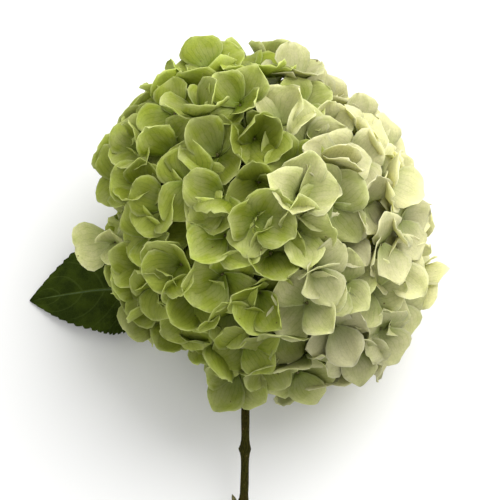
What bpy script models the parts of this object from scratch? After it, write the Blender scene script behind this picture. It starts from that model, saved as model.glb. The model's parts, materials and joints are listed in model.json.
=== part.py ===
"""Cut hydrangea: one mophead flower with a leaf and a length of stem, lying on a flat surface.

Metres. World +X is across the flower, +Y runs along the stem towards the crown, +Z is up from the
surface. The flower is modelled in its own frame, with its origin in the middle of the head, +Y along the
stem to the crown and +Z towards its upper side, and that frame is then tipped up by TILT: the head rests
on its underside, on the leaf and its stalk, and the stem slopes down until its cut end lies on the surface.

The head is a branching flower cluster. A few main rays leave the top of the stem, and each carries
small clusters, the cymes. A cyme is one solid: a branchlet, a thin stalk for each of its florets, and
the florets, which are cups of four broad sepals. Florets crowd, so each cup reaches as far as its
sepals do, or to the middle of the way to its neighbour where that is less.
"""

import math
import random

import bmesh
import bpy
import numpy as np
from mathutils import Matrix, Vector

TAU = 2 * math.pi
MM = 0.001

# The flower's own frame
TILT = math.radians(22.0)
HEAD_CENTRE = Vector((0.02100, 0.04462, 0.084))
FLOWER = Matrix.Translation(HEAD_CENTRE) @ Matrix.Rotation(TILT, 4, "X")

# The head: how far the florets' centres are from its middle, every 30 degrees from +X towards +Y,
# and on its upper and under sides
OUTLINE = (0.081, 0.081, 0.071, 0.090, 0.096, 0.081, 0.075, 0.077, 0.073, 0.087, 0.098, 0.092)
HEAD_DEPTH = 0.079
FLORETS = 165
UNEVEN = 0.007  # how far a floret stands out of or sinks into the head's round shape
FRONT_EDGE = 0.985  # a front floret shows no nearer to the outline than this part of the way
STEM_OUT = Vector((-0.10, -1, 0.0)).normalized()
STEM_CLEAR = math.cos(math.radians(15.0))  # no florets this close to where the stem comes out
LEADING_CLEAR = 0.17  # from a filling floret to a leading one, before they spread, on a sphere of radius 1
SPREAD_CALM = 150  # a push under this moves a floret by less than a whole step

# A floret
SEPALS = 4
REACH = (0.0190, 0.0220)  # the sepals' length, least and most, of the florets that fill the head
CUP = (0.32, 0.50)  # how far the rim stands over the centre, in lengths
LEADING_CUP = (0.36, 0.50)
SWAY = 0.16  # how far a floret's facing strays from straight out
REST_CLEAR = 0.0055  # from a floret's centre to what it rests on
RIM_REACH = (0.60, 0.98, 0.98)  # at the gap between two sepals, and at one sepal's two corners
RIM_LIFT = (0.50, 1.0, 1.0)
RIM_TURN = (0.0, math.radians(-7.0), math.radians(7.0))
RIM_POINTS = len(RIM_REACH) * SEPALS
CUP_THICKNESS = 0.0018  # at the centre: a cup thins out to its edge
CUP_GAP = 0.0003  # from a cup to the middle of the way to its neighbour
CUP_LEAST = 0.12  # a cup's point is drawn in to no less than this part of its reach
NEIGHBOUR = 0.055  # florets within this distance may touch
STEM_NEIGHBOUR = 0.030
STALK_RADIUS = 0.0008
STALK_SIDES = 3
STALK_END = 0.45  # how deep in its cup's thick middle a stalk ends

# The branches
HUB = Vector((-0.006, -0.034, 0.0))  # the top of the stem
HUB_RADIUS = 0.0055
CYMES = 46
FORK_PART = 0.62  # a cyme forks this far from the hub to its florets
FORK_BACK = 0.0009  # a floret's stalk starts this far inside the branchlet
BRANCHLET_RADIUS = 0.0011
BRANCHLET_SIDES = 4
RAY_RINGS = ((3, math.radians(32.0), 0.034), (6, math.radians(88.0), 0.027))  # rays, lean, length
RAY_RADII = (0.0019, 0.0015)
RAY_SIDES = 6
RAY_KNOB = 0.0038  # the swelling where a ray forks into its cymes
PART_GAP = 0.0004  # between two parts that meet

# The stem, from the hub down to the cut end: places in the flower's frame
STEM_ROUTE = (
    Vector((-0.006, -0.034, 0.0)),
    Vector((-0.009, -0.070, 0.001)),
    Vector((-0.0099, -0.103, 0.001)),
    Vector((-0.0101, -0.1355, 0.000)),
    Vector((-0.0111, -0.168, -0.0014)),
    Vector((-0.0150, -0.206, -0.0048)),
)
STEM_RADIUS = 0.0026
STEM_SIDES = 8
STEM_STEPS = 6  # places on the stem from one of its route to the next
JOINTS = (STEM_ROUTE[3].y, STEM_ROUTE[4].y)  # where leaves once grew
JOINT_RADIUS = 0.0033
JOINT_LENGTH = 0.004
HUB_LENGTH = 0.006
BUD_LENGTH = 0.0066
BUD_RADIUS = 0.0015
BUD_TAPER = 0.45
BUD_FACES = (8, 6)  # round it and along it
BUD_LEAN = Vector((-0.35, 1, 0)).normalized()
BUD_RISE = 0.30  # from the joint to the bud's middle, in bud lengths

# The leaf. Places are (x, y) in the flower's frame as seen from its upper side, and a height above
# the surface that it lies on
LEAF_STALK_ROUTE = (
    (-0.0132, -0.0965, 0.0415),
    (-0.020, -0.0900, 0.030),
    (-0.031, -0.0760, 0.0135),
    (-0.044, -0.0600, 0.0068),
    (-0.058, -0.0470, 0.0065),
)
LEAF_ROUTE = (
    (-0.058, -0.0470, 0.0068),
    (-0.080, -0.0425, 0.0092),
    (-0.100, -0.0412, 0.0098),
    (-0.125, -0.0445, 0.0068),
    (-0.148, -0.0485, 0.0007),
)
LEAF_HALF_WIDTH = 0.0295
LEAF_BROADER = 1.20  # the side towards the crown, against the other
LEAF_TAPER = 0.92  # above 0.8 the leaf's ends are more drawn out
LEAF_WIDEST = 0.40  # of the way from the stalk to the tip
LEAF_STEPS = (22, 2)  # faces along and across
LEAF_THICKNESS = 0.0009
LEAF_TOOTH = 0.0013
LEAF_FOLD = 0.10  # how far a side rises from the midrib, in half widths
LEAF_ENDS = (0.015, 0.990)  # the blade's first and last places along the midrib
LEAF_REST = (16, 4)  # steps along the leaf, and from the midrib to its edge, between places to rest on
MIDRIB_STEPS = 8
STALK_THICK = 0.0016  # the leaf stalk's radius
STALK_SLIM = 0.55  # its end under the blade, against its start
STALK_STEPS = 3
STALK_RISEN = 4  # places of the stalk that stand too high for florets to rest on
LEAF_STALK_SIDES = 8
LEAF_CLEAR = 0.0012  # between the leaf and the florets that lie on it
LEAF_NEAR = 0.008  # florets this close to the leaf, seen from above, lie on it

# The florets on the head's front that are placed by eye: x and y of the centre in millimetres, then the
# way that each faces, as degrees towards +X and +Y from straight up, then its turn, its reach, and how
# far it stands out of the head's round shape
LEADING = (
    (-31, 90, -15, 38, 20, 21, 3),
    (-12, 64, -16, 20, 48, 22, 2),
    (-50, 62, -30, 22, 10, 20, 0),
    (-50, 40, -34, -6, 30, 21, 2),
    (-38, 20, -6, 2, 8, 21, 4),
    (-72, 24, -42, 10, 25, 22, 6),
    (-5, 46, 6, 14, 40, 23, 0),
    (21, 64, 12, 26, 15, 20, 0),
    (33, 52, 24, 10, 35, 19, 0),
    (54, 54, 34, 26, 5, 21, 2),
    (50, 35, 22, -4, 40, 20, 0),
    (36, 9, 10, 6, 33, 22, 3),
    (18, -5, 14, -22, 12, 22, 0),
    (-20, -8, -8, 12, 50, 23, 3),
    (4, -18, 4, -12, 30, 20, 0),
    (-60, -7, -30, -10, 15, 20, 2),
    (-66, -23, -44, 4, 40, 20, 2),
    (-37, -43, -16, -20, 35, 22, 0),
    (24, -44, 2, -8, 45, 22, 3),
    (44, -35, 16, 4, 20, 20, 0),
    (61, -40, 26, -14, 0, 20, 0),
    (73, -28, 38, 4, 30, 22, 0),
    (78, 47, 48, 22, 25, 21, 2),
    (86, 6, 56, 6, 10, 21, 0),
    (80, -50, 44, -24, 35, 21, 0),
    (52, -73, 24, -36, 15, 21, 0),
    (66, -60, 36, -20, 45, 22, 3),
    (-2, 22, -4, -18, 5, 19, 0),
    (15, 30, 10, 8, 25, 20, 0),
    (-15, -87, -8, -26, 54, 22, 8),
    (-8, -68, -4, -30, 40, 21, 0),
    (-52, -66, -34, -36, 10, 21, 0),
    (22, -92, 10, -36, 30, 21, 0),
    (-90, -12, -16, 0, 0, 25, 13),
    (-4, 96, -4, 44, 30, 21, 1),
)

FADE_WIDTH = 0.09  # across the head, from lime to cream
SEPAL_LIME = (0.36, 0.45, 0.075)
SEPAL_CREAM = (0.62, 0.66, 0.30)
BRANCH_GREEN = (0.30, 0.36, 0.10)
STEM_BROWN = (0.035, 0.032, 0.008)
BUD_GREEN = (0.10, 0.11, 0.03)
LEAF_GREEN = (0.014, 0.035, 0.006)


# ---------------------------------------------------------------- places


def head_reach(way):
    """How far the florets' centres are from the head's middle, in a direction of the flower's frame."""
    turn = math.atan2(way.y, way.x) % TAU / (TAU / len(OUTLINE))
    corner = int(turn) % len(OUTLINE)
    blend = (1 - math.cos(math.pi * (turn - int(turn)))) / 2
    across = OUTLINE[corner] * (1 - blend) + OUTLINE[(corner + 1) % len(OUTLINE)] * blend
    return 1 / math.hypot(math.hypot(way.x, way.y) / across, way.z / HEAD_DEPTH)


def on_front(x, y):
    """The direction from the head's middle to the place on its upper side that shows at x, y."""
    flat = Vector((x, y, 0))
    part = min(flat.length / head_reach(flat.normalized()), FRONT_EDGE)
    rise = HEAD_DEPTH * math.sqrt(1 - part**2)
    return Vector((x, y, rise)).normalized()


def golden_spiral(count):
    """Directions spread evenly over a sphere."""
    golden = math.pi * (3 - math.sqrt(5))
    for k in range(count):
        up = 1 - 2 * (k + 0.5) / count
        flat = math.sqrt(1 - up**2)
        yield Vector((flat * math.cos(k * golden), up, flat * math.sin(k * golden)))


def spread(free, fixed, rounds=240, step=0.10):
    """Pushes the free directions apart, and away from the fixed ones, until they are evenly spread."""
    ways = np.array([list(w) for w in [*free, *fixed]])
    for _ in range(rounds):
        apart = ways[: len(free), None, :] - ways[None, :, :]
        far = np.linalg.norm(apart, axis=2)
        far[far == 0] = math.inf
        push = (apart / far[..., None] ** 4).sum(axis=1)
        size = np.linalg.norm(push, axis=1, keepdims=True)
        ways[: len(free)] += push / size * step * np.minimum(1, size / SPREAD_CALM)
        ways[: len(free)] /= np.linalg.norm(ways[: len(free)], axis=1, keepdims=True)
    return [Vector(w) for w in ways[: len(free)].tolist()]


def laid(x, y, height):
    """World place of what shows at x, y from the flower's upper side, at a height over the surface."""
    rise = (height - HEAD_CENTRE.z - y * math.sin(TILT)) / math.cos(TILT)
    return FLOWER @ Vector((x, y, rise))


def through(points, steps):
    """Points along a smooth curve through the given ones."""
    ends = [points[0] * 2 - points[1], *points, points[-1] * 2 - points[-2]]
    curve = []
    for a, b, c, d in zip(ends, ends[1:], ends[2:], ends[3:]):
        for k in range(steps):
            t = k / steps
            curve.append(
                0.5 * (2 * b + (c - a) * t + (2 * a - 5 * b + 4 * c - d) * t**2 + (3 * b - a - 3 * c + d) * t**3)
            )
    return [*curve, points[-1]]


LEAF_STALK = through([laid(*spot) for spot in LEAF_STALK_ROUTE], STALK_STEPS)
LEAF_MIDRIB = through([laid(*spot) for spot in LEAF_ROUTE], MIDRIB_STEPS)
STEM = [FLOWER @ spot for spot in through(list(STEM_ROUTE), STEM_STEPS)]


def leaf_place(along, across):
    """World place on the leaf's upper face: along from the stalk (0) to the tip (1), across -1 to 1."""
    at = along * (len(LEAF_MIDRIB) - 1)
    k = min(int(at), len(LEAF_MIDRIB) - 2)
    spot = LEAF_MIDRIB[k].lerp(LEAF_MIDRIB[k + 1], at - k)
    ahead = LEAF_MIDRIB[k + 1] - LEAF_MIDRIB[k]
    side = Vector((-ahead.y, ahead.x, 0)).normalized()
    bend = math.log(0.5) / math.log(LEAF_WIDEST)
    half = LEAF_HALF_WIDTH * math.sin(math.pi * along**bend) ** LEAF_TAPER
    half *= LEAF_BROADER if across < 0 else 1
    rise = LEAF_FOLD * half * abs(across) * (1 - along)
    return spot + side * half * across + Vector((0, 0, rise))


def leaf_spots():
    """Places all over the leaf and its stalk, which the florets above them rest on."""
    along, half = LEAF_REST
    spots = [leaf_place(k / along, side / half) for k in range(1, along) for side in range(-half, half + 1)]
    return spots + [spot + Vector((0, 0, STALK_THICK)) for spot in LEAF_STALK[STALK_RISEN:]]


LEAF_SPOTS = leaf_spots()


def rest_height(place):
    """The lowest that a floret can be here: the surface, or the leaf where that is in between."""
    near = [s.z + LEAF_CLEAR for s in LEAF_SPOTS if math.hypot(s.x - place.x, s.y - place.y) < LEAF_NEAR]
    return max(near, default=0.0)


# ---------------------------------------------------------------- the florets' layout


class Floret:
    """Where one floret's centre is, the way it faces, its turn about that, and its sepals' reach."""

    def __init__(self, centre, facing, turn, reach, cup):
        self.centre = centre
        self.facing = facing.normalized()
        self.turn = turn
        self.reach = reach
        self.cup = cup


def leading_floret(x, y, lean_x, lean_y, turn, reach, out, chance):
    way = on_front(x * MM, y * MM)
    facing = Vector((math.tan(math.radians(lean_x)), math.tan(math.radians(lean_y)), 1))
    centre = FLOWER @ (way * (head_reach(way) + out * MM))
    cup = chance.uniform(*LEADING_CUP)
    return Floret(centre, FLOWER.to_3x3() @ facing, math.radians(turn), reach * MM, cup)


def filling_floret(way, chance):
    centre = FLOWER @ (way * (head_reach(way) + chance.uniform(-UNEVEN, UNEVEN)))
    sway = Vector([chance.gauss(0, SWAY) for _ in range(3)])
    facing = FLOWER.to_3x3() @ (way + sway)
    centre.z = max(centre.z, rest_height(centre) + REST_CLEAR)
    return Floret(centre, facing, chance.uniform(0, TAU / SEPALS), chance.uniform(*REACH), chance.uniform(*CUP))


def lay_out_florets():
    """The leading florets, then the others, spread over the rest of the head in the same order each run."""
    chance = random.Random(5)
    leading = [leading_floret(*row, chance) for row in LEADING]
    fixed = [on_front(row[0] * MM, row[1] * MM) for row in LEADING]
    others = [way for way in golden_spiral(FLORETS) if min((way - spot).length for spot in fixed) > LEADING_CLEAR]
    others = others[: FLORETS - len(LEADING)]
    others = spread(others, [*fixed, STEM_OUT])
    others = [way for way in others if way.dot(STEM_OUT) < STEM_CLEAR]
    return leading + [filling_floret(way, chance) for way in others]


def group_into_cymes(florets):
    """The florets of each cyme: those whose direction from the hub is nearest to the cyme's own."""
    hub = FLOWER @ HUB
    places = [way * head_reach(way) for way in spread(list(golden_spiral(CYMES)), [Vector((0, -1, 0))])]
    ways = [(FLOWER @ place - hub).normalized() for place in places]
    cymes = [[] for _ in ways]
    for floret in florets:
        way = (floret.centre - hub).normalized()
        cymes[max(range(CYMES), key=lambda k: way.dot(ways[k]))].append(floret)
    return [cyme for cyme in cymes if cyme]


# ---------------------------------------------------------------- meshes


def plain_material(name, colour, roughness):
    material = bpy.data.materials.new(name)
    material.use_nodes = True
    shader = material.node_tree.nodes["Principled BSDF"]
    shader.inputs["Base Color"].default_value = (*colour, 1)
    shader.inputs["Roughness"].default_value = roughness
    shader.inputs["Metallic"].default_value = 0.0
    return material


def new_object(name, mesh, material, collection):
    piece = bpy.data.objects.new(name, mesh)
    piece.data.materials.clear()
    piece.data.materials.append(material)
    collection.objects.link(piece)
    return piece


def as_mesh(shape, name):
    bmesh.ops.recalc_face_normals(shape, faces=shape.faces)
    mesh = bpy.data.meshes.new(name)
    shape.to_mesh(mesh)
    shape.free()
    return mesh


def fused(meshes, name):
    """One solid from closed meshes that run into each other, by Boolean union."""
    pieces = [bpy.data.objects.new("piece", mesh) for mesh in meshes]
    for piece in pieces:
        bpy.context.scene.collection.objects.link(piece)
    for piece in pieces[1:]:
        join = pieces[0].modifiers.new("join", "BOOLEAN")
        join.operation = "UNION"
        join.solver = "EXACT"
        join.object = piece
    depsgraph = bpy.context.evaluated_depsgraph_get()
    solid = bpy.data.meshes.new_from_object(pieces[0].evaluated_get(depsgraph))
    solid.name = name
    for piece in pieces:
        bpy.data.objects.remove(piece)
    return solid


def rod(start, end, radii, sides):
    """A tapered rod between two places, as a closed mesh."""
    shape = bmesh.new()
    along = end - start
    bmesh.ops.create_cone(
        shape, cap_ends=True, segments=sides, radius1=radii[0], radius2=radii[1], depth=along.length
    )
    turn = Vector((0, 0, 1)).rotation_difference(along).to_matrix().to_4x4()
    bmesh.ops.transform(shape, matrix=Matrix.Translation((start + end) / 2) @ turn, verts=shape.verts)
    return as_mesh(shape, "rod")


def walls_between(floret, florets):
    """Planes that the floret's cup stays behind: half-way to each neighbour, and clear of the stalks."""
    walls = []
    for other in florets:
        away = other.centre - floret.centre
        if 0 < away.length < NEIGHBOUR:
            walls.append((floret.centre + away / 2 - away.normalized() * CUP_GAP, away.normalized()))
    for spot, radius in [(s, STALK_THICK) for s in LEAF_STALK] + [(s, STEM_RADIUS) for s in STEM]:
        away = spot - floret.centre
        if away.length < STEM_NEIGHBOUR:
            walls.append((spot - away.normalized() * (radius + CUP_GAP), away.normalized()))
    return walls


def cup_point(floret, place, walls):
    """The place, raised to what the floret rests on and drawn in until it is behind every wall."""
    place = place.copy()
    place.z = max(place.z, rest_height(place))
    reach = place - floret.centre
    part = 1.0
    for spot, way in walls:
        towards = reach.dot(way)
        if towards > 0:
            part = min(part, max((spot - floret.centre).dot(way) / towards, CUP_LEAST))
    return floret.centre + reach * part


def floret_cup(floret, walls):
    """The four sepals of a floret as one thin cup: a two-row sphere drawn out to lobes round its rim."""
    shape = bmesh.new()
    bmesh.ops.create_uvsphere(shape, u_segments=RIM_POINTS, v_segments=2, radius=1.0)
    turned = Vector((0, 0, 1)).rotation_difference(floret.facing).to_matrix()
    for vert in shape.verts:
        if vert.co.z > 0.5:
            vert.co = floret.centre
            continue
        if vert.co.z < -0.5:
            vert.co = floret.centre - floret.facing * CUP_THICKNESS
            continue
        angle = math.atan2(vert.co.y, vert.co.x) % TAU
        lobe = round(angle / TAU * RIM_POINTS) % len(RIM_REACH)
        flat = floret.reach * RIM_REACH[lobe]
        lift = floret.reach * floret.cup * RIM_LIFT[lobe]
        turn = angle + RIM_TURN[lobe] + floret.turn
        local = Vector((flat * math.cos(turn), flat * math.sin(turn), lift))
        vert.co = cup_point(floret, floret.centre + turned @ local, walls)
    return as_mesh(shape, "cup")


def stalk_end(floret):
    """Where a floret's stalk ends, inside the thick middle of its cup."""
    return floret.centre - floret.facing * CUP_THICKNESS * STALK_END


def cyme_solid(name, cyme, florets):
    """One cyme: a stalk from its ray's knob to its middle floret, and the others' stalks off that."""
    hub = FLOWER @ HUB
    middle = sum((floret.centre for floret in cyme), Vector()) / len(cyme)
    first, *others = sorted(cyme, key=lambda floret: (floret.centre - middle).length)
    knob = hub + nearest_ray(middle - hub)
    fork = hub.lerp(middle, FORK_PART)
    start = knob + (fork - knob).normalized() * (RAY_KNOB + PART_GAP)
    bent = [start, fork, stalk_end(first)]
    shapes = [
        tube(name, bent, (BRANCHLET_RADIUS, BRANCHLET_RADIUS, STALK_RADIUS), BRANCHLET_SIDES),
        floret_cup(first, walls_between(first, florets)),
    ]
    inside = fork + (start - fork).normalized() * FORK_BACK
    for floret in others:
        shapes.append(rod(inside, stalk_end(floret), (STALK_RADIUS, STALK_RADIUS), STALK_SIDES))
        shapes.append(floret_cup(floret, walls_between(floret, florets)))
    return fused(shapes, name)


def ray_ends():
    """Where the main rays end, as world vectors from the hub: a ring round the crown, and one below it."""
    ends = []
    for count, lean, length in RAY_RINGS:
        for k in range(count):
            turn = TAU * (k + 0.5) / count
            across = Vector((math.cos(turn), 0, math.sin(turn))) * math.sin(lean)
            ends.append(FLOWER.to_3x3() @ (Vector((0, math.cos(lean), 0)) + across) * length)
    return ends


RAY_ENDS = ray_ends()


def nearest_ray(way):
    return max(RAY_ENDS, key=lambda end: end.normalized().dot(way.normalized()))


def ray_solid(name, end):
    """A main ray: a tapered rod from the hub, with a small swelling where its cymes fork off."""
    hub = FLOWER @ HUB
    shape = bmesh.new()
    bmesh.ops.create_icosphere(shape, subdivisions=1, radius=RAY_KNOB)
    bmesh.ops.translate(shape, vec=hub + end, verts=shape.verts)
    start = hub + end.normalized() * (HUB_RADIUS + PART_GAP)
    return fused([rod(start, hub + end, RAY_RADII, RAY_SIDES), as_mesh(shape, "knob")], name)


def tube(name, places, radii, sides):
    """A round tube through places, from a curve with a bevel and closed ends, as a welded mesh."""
    curve = bpy.data.curves.new(name, "CURVE")
    curve.dimensions = "3D"
    curve.bevel_depth = 1.0
    curve.bevel_resolution = sides // 2 - 2
    curve.use_fill_caps = True
    spline = curve.splines.new("POLY")
    spline.points.add(len(places) - 1)
    for point, place, radius in zip(spline.points, places, radii):
        point.co = (*place, 1)
        point.radius = radius
    guide = bpy.data.objects.new(name, curve)
    bpy.context.scene.collection.objects.link(guide)
    mesh = bpy.data.meshes.new_from_object(guide.evaluated_get(bpy.context.evaluated_depsgraph_get()))
    bpy.data.objects.remove(guide)
    shape = bmesh.new()
    shape.from_mesh(mesh)
    bmesh.ops.remove_doubles(shape, verts=shape.verts, dist=0.00001)
    return as_mesh(shape, name)


def stem_mesh():
    """The stem, a little thicker at its top, where the rays leave, and at the joints below the head."""
    radii = []
    for place in STEM:
        along = (FLOWER.inverted() @ place).y
        swellings = [math.exp(-(((along - joint) / JOINT_LENGTH) ** 2)) for joint in JOINTS]
        top = math.exp(-(((along - HUB.y) / HUB_LENGTH) ** 2))
        joint = (JOINT_RADIUS - STEM_RADIUS) * max(swellings)
        radii.append(STEM_RADIUS + joint + (HUB_RADIUS - STEM_RADIUS) * top)
    return tube("stem", STEM, radii, STEM_SIDES)


def bud_mesh():
    """The resting bud on the left of the lower joint: a small round body drawn out to a point."""
    joint = min(STEM, key=lambda place: abs((FLOWER.inverted() @ place).y - JOINTS[-1]))
    left = FLOWER.to_3x3() @ Vector((-1, 0, 0))
    up = FLOWER.to_3x3() @ BUD_LEAN
    middle = joint + left * (JOINT_RADIUS + BUD_RADIUS + PART_GAP) + up * BUD_LENGTH * BUD_RISE
    shape = bmesh.new()
    bmesh.ops.create_uvsphere(shape, u_segments=BUD_FACES[0], v_segments=BUD_FACES[1], radius=1.0)
    turn = Vector((0, 0, 1)).rotation_difference(up).to_matrix()
    for vert in shape.verts:
        taper = 1.0 - BUD_TAPER * max(vert.co.z, 0)
        local = Vector((vert.co.x * taper, vert.co.y * taper, 0)) * BUD_RADIUS
        local.z = vert.co.z * BUD_LENGTH / 2
        vert.co = middle + turn @ local
    return as_mesh(shape, "bud")


def leaf_mesh():
    """The blade, from a grid bent to the leaf's outline with a toothed edge, and the stalk under it."""
    along_steps, across_steps = LEAF_STEPS
    shape = bmesh.new()
    bmesh.ops.create_grid(shape, x_segments=along_steps, y_segments=across_steps, size=0.5)
    for vert in shape.verts:
        step = round((vert.co.x + 0.5) * along_steps)
        along = LEAF_ENDS[0] + (LEAF_ENDS[1] - LEAF_ENDS[0]) * step / along_steps
        across = round(vert.co.y * across_steps) / across_steps * 2
        place = leaf_place(along, across)
        if abs(across) == 1 and step % 2:
            inward = (leaf_place(along, 0) - place).normalized()
            place += inward * LEAF_TOOTH
        vert.co = place
    bmesh.ops.recalc_face_normals(shape, faces=shape.faces)
    if sum((face.normal for face in shape.faces), Vector()).z < 0:
        bmesh.ops.reverse_faces(shape, faces=shape.faces)
    bmesh.ops.solidify(shape, geom=shape.faces[:], thickness=LEAF_THICKNESS)
    blade = as_mesh(shape, "blade")
    under = [place - Vector((0, 0, LEAF_THICKNESS)) for place in LEAF_MIDRIB[2:-6:3]]
    places = [*LEAF_STALK[:-1], *under]
    parts = [k / (len(places) - 1) for k in range(len(places))]
    radii = [STALK_THICK * (1 + (STALK_SLIM - 1) * part) for part in parts]
    return fused([blade, tube("stalk", places, radii, LEAF_STALK_SIDES)], "leaf")


# ---------------------------------------------------------------- the object


def build():
    for old in list(bpy.data.objects):
        bpy.data.objects.remove(old)
    flower = bpy.data.collections.new("cut_hydrangea")
    bpy.context.scene.collection.children.link(flower)
    branch = plain_material("branch", BRANCH_GREEN, 0.6)

    florets = lay_out_florets()
    cymes = group_into_cymes(florets)
    print(len(florets), "florets in", len(cymes), "cymes")
    for number, cyme in enumerate(cymes, 1):
        name = f"cyme_{number:02d}"
        side = sum((FLOWER.inverted() @ floret.centre).x for floret in cyme) / len(cyme)
        pale = min(max(0.5 + side / FADE_WIDTH, 0), 1)
        colour = [a + (b - a) * pale for a, b in zip(SEPAL_LIME, SEPAL_CREAM)]
        sepal = plain_material(f"sepal_{number:02d}", colour, 0.6)
        new_object(name, cyme_solid(name, cyme, florets), sepal, flower)

    for number, end in enumerate(RAY_ENDS, 1):
        name = f"ray_{number}"
        new_object(name, ray_solid(name, end), branch, flower)

    new_object("stem", stem_mesh(), plain_material("stem", STEM_BROWN, 0.55), flower)
    new_object("bud", bud_mesh(), plain_material("bud", BUD_GREEN, 0.6), flower)
    new_object("leaf", leaf_mesh(), plain_material("leaf", LEAF_GREEN, 0.5), flower)


build()
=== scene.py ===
# %% [markdown]
# # A cut mophead hydrangea
# This script dresses a plain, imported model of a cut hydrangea. The plain model holds the sizes and the
# places. Here every floret gets real sepals, the leaf gets its veins and teeth, and the stem its bark.
# The flower lies on a table, so the camera looks down on it, square to its stem.

# %% Load the plain model
import json
import math
import random

import bmesh
import bpy
import numpy as np
from mathutils import Matrix, Vector

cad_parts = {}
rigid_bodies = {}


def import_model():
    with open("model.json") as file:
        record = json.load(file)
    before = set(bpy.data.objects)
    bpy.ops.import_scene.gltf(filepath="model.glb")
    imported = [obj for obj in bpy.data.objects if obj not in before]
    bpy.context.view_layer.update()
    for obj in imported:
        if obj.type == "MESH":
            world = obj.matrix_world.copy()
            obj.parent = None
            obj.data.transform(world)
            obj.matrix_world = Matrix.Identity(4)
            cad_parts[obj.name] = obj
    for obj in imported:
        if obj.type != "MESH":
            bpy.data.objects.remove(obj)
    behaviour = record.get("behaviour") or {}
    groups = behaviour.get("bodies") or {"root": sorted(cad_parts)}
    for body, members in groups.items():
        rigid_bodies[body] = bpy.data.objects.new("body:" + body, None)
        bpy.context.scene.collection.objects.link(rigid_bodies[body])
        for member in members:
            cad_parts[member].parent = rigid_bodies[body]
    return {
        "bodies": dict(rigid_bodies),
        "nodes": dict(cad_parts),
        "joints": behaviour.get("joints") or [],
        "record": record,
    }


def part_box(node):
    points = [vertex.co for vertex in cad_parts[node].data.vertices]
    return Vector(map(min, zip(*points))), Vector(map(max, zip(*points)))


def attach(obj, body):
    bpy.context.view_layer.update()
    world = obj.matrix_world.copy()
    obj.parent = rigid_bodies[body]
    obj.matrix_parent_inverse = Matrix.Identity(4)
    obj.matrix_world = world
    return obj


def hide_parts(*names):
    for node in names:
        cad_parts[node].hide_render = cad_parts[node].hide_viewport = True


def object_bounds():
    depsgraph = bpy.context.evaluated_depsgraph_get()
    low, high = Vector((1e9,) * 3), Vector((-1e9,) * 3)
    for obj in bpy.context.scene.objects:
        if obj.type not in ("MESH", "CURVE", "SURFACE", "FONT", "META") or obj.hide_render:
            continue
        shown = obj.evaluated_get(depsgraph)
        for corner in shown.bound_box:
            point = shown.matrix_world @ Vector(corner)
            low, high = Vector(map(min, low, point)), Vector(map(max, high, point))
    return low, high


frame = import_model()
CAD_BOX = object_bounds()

TAU = 2 * math.pi
BODY = "root"
box = [tuple(round(c, 4) for c in corner) for corner in CAD_BOX]
print("plain model:", len(frame["nodes"]), "pieces, box", box)

# %% [markdown]
# ## The flower's own frame
# A flower is easier to think about in its own directions: X across the head, Y up the stem to the crown,
# Z towards its upper side. The whole flower is then tipped up a little, because the round head is thick
# and the thin stem slopes down to the table. `laid` turns "seen from above at x, y, and this high over
# the table" into a place in the room.

# %% The flower's frame and the head's shape
TILT = math.radians(22.0)
HEAD_CENTRE = Vector((0.02100, 0.04462, 0.084))
FLOWER = Matrix.Translation(HEAD_CENTRE) @ Matrix.Rotation(TILT, 4, "X")

OUTLINE = (0.081, 0.081, 0.071, 0.090, 0.096, 0.081, 0.075, 0.077, 0.073, 0.087, 0.098, 0.092)
HEAD_DEPTH = 0.079
FLORETS = 165
UNEVEN = 0.007
STEM_CLEAR = math.cos(math.radians(15.0))


def head_reach(way):
    """How far the florets' centres are from the head's middle, in a direction of the flower's frame."""
    turn = math.atan2(way.y, way.x) % TAU / (TAU / len(OUTLINE))
    corner = int(turn) % len(OUTLINE)
    blend = (1 - math.cos(math.pi * (turn - int(turn)))) / 2
    across = OUTLINE[corner] * (1 - blend) + OUTLINE[(corner + 1) % len(OUTLINE)] * blend
    return 1 / math.hypot(math.hypot(way.x, way.y) / across, way.z / HEAD_DEPTH)


def laid(x, y, height):
    """The place in the room of what shows at x, y from above the flower, at a height over the table."""
    rise = (height - HEAD_CENTRE.z - y * math.sin(TILT)) / math.cos(TILT)
    return FLOWER @ Vector((x, y, rise))


def through(points, steps):
    """Points along a smooth curve through the given ones."""
    ends = [points[0] * 2 - points[1], *points, points[-1] * 2 - points[-2]]
    curve = []
    for a, b, c, d in zip(ends, ends[1:], ends[2:], ends[3:]):
        for k in range(steps):
            t = k / steps
            bend, twist = 2 * a - 5 * b + 4 * c - d, 3 * b - a - 3 * c + d
            curve.append(0.5 * (2 * b + (c - a) * t + bend * t**2 + twist * t**3))
    return [*curve, points[-1]]


# %% [markdown]
# ## Where the stem and the leaf lie
# These routes are the plain model's own. The head rests on the leaf, so the leaf comes before the
# florets: those that lie on it are lifted by its height.

# %% Stem and leaf routes
STEM_ROUTE = (
    Vector((-0.006, -0.034, 0.0)),
    Vector((-0.009, -0.070, 0.001)),
    Vector((-0.0099, -0.103, 0.001)),
    Vector((-0.0101, -0.1355, 0.000)),
    Vector((-0.0111, -0.168, -0.0014)),
    Vector((-0.0150, -0.206, -0.0048)),
)
STEM_RADIUS = 0.0026
JOINTS = (STEM_ROUTE[3].y, STEM_ROUTE[4].y)
JOINT_RADIUS = 0.0033
HUB = STEM_ROUTE[0]
HUB_RADIUS = 0.0055
LEAF_STALK_ROUTE = (
    (-0.0132, -0.0965, 0.0415),
    (-0.020, -0.0900, 0.030),
    (-0.031, -0.0760, 0.0135),
    (-0.044, -0.0600, 0.0068),
    (-0.058, -0.0470, 0.0065),
)
LEAF_ROUTE = (
    (-0.058, -0.0470, 0.0068),
    (-0.080, -0.0425, 0.0092),
    (-0.100, -0.0412, 0.0098),
    (-0.125, -0.0445, 0.0068),
    (-0.148, -0.0485, 0.0007),
)
LEAF_HALF_WIDTH = 0.0295
LEAF_BROADER = 1.20
LEAF_TAPER = 0.92
LEAF_WIDEST = 0.40
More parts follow.
